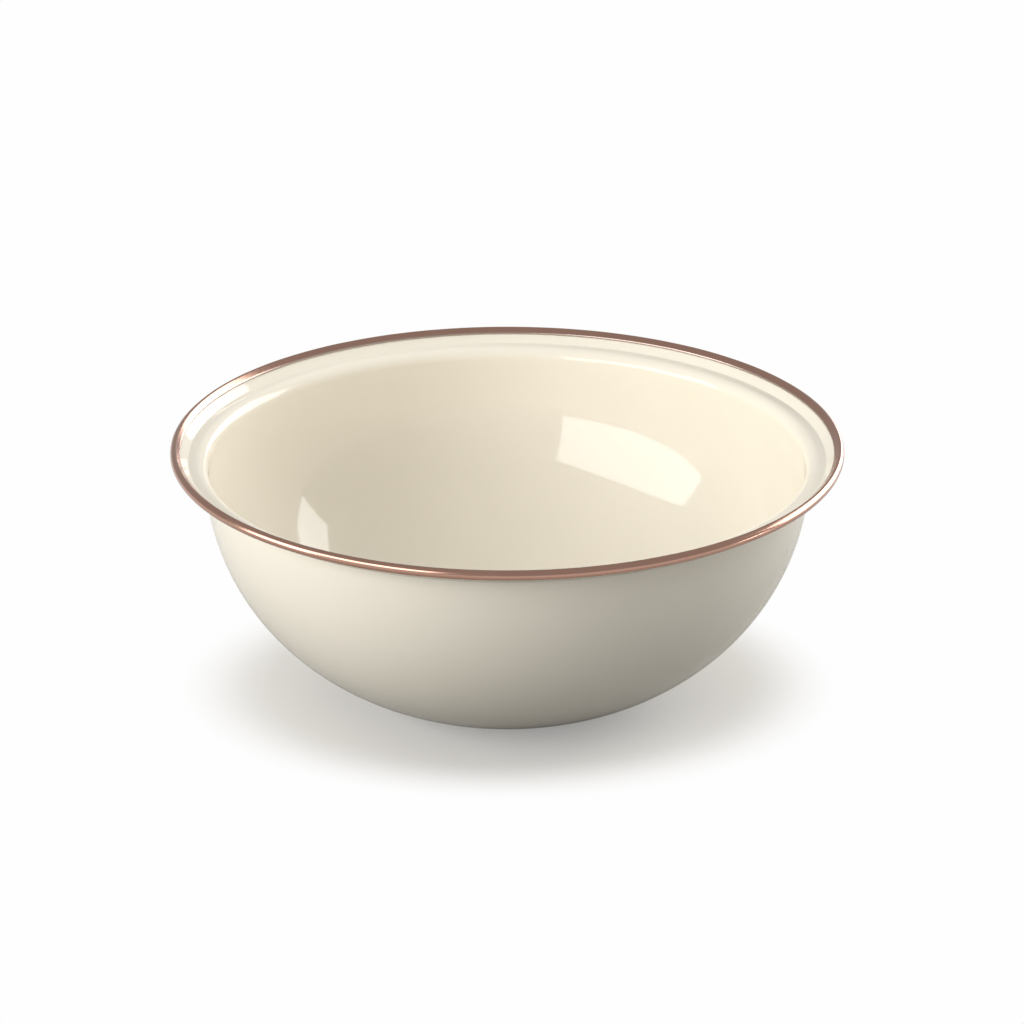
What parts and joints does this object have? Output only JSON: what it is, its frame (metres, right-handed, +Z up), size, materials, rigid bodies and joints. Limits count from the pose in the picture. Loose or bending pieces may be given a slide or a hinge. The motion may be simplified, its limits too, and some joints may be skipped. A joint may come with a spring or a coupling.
{
  "type": "enamel bowl",
  "caption": "Deep round enamelled steel bowl in cream, with a stepped flared lip, a small flat base and a rolled copper-coloured metal band over its edge, for mixing and serving food.",
  "frame": {"origin": "middle of the base, on the plane of the ring that the bowl stands on", "axes": "+Z up along the bowl's axis; X and Y are any two directions across it"},
  "size_m": [0.28, 0.28, 0.1109],
  "materials": {
    "pressed_steel": "bare pressed low-carbon steel sheet",
    "ground_enamel": "dark fired ground coat of vitreous enamel",
    "cream_enamel": "glossy cream cover coat of vitreous enamel",
    "copper_band": "polished copper-coloured plating on a stainless steel strip"
  },
  "bodies": {
    "root": {"steel_shell": "pressed_steel", "inner_ground_coat": "ground_enamel", "outer_ground_coat": "ground_enamel", "inner_cover_coat": "cream_enamel", "outer_cover_coat": "cream_enamel", "rim_band": "copper_band"}
  },
  "joints": []
}
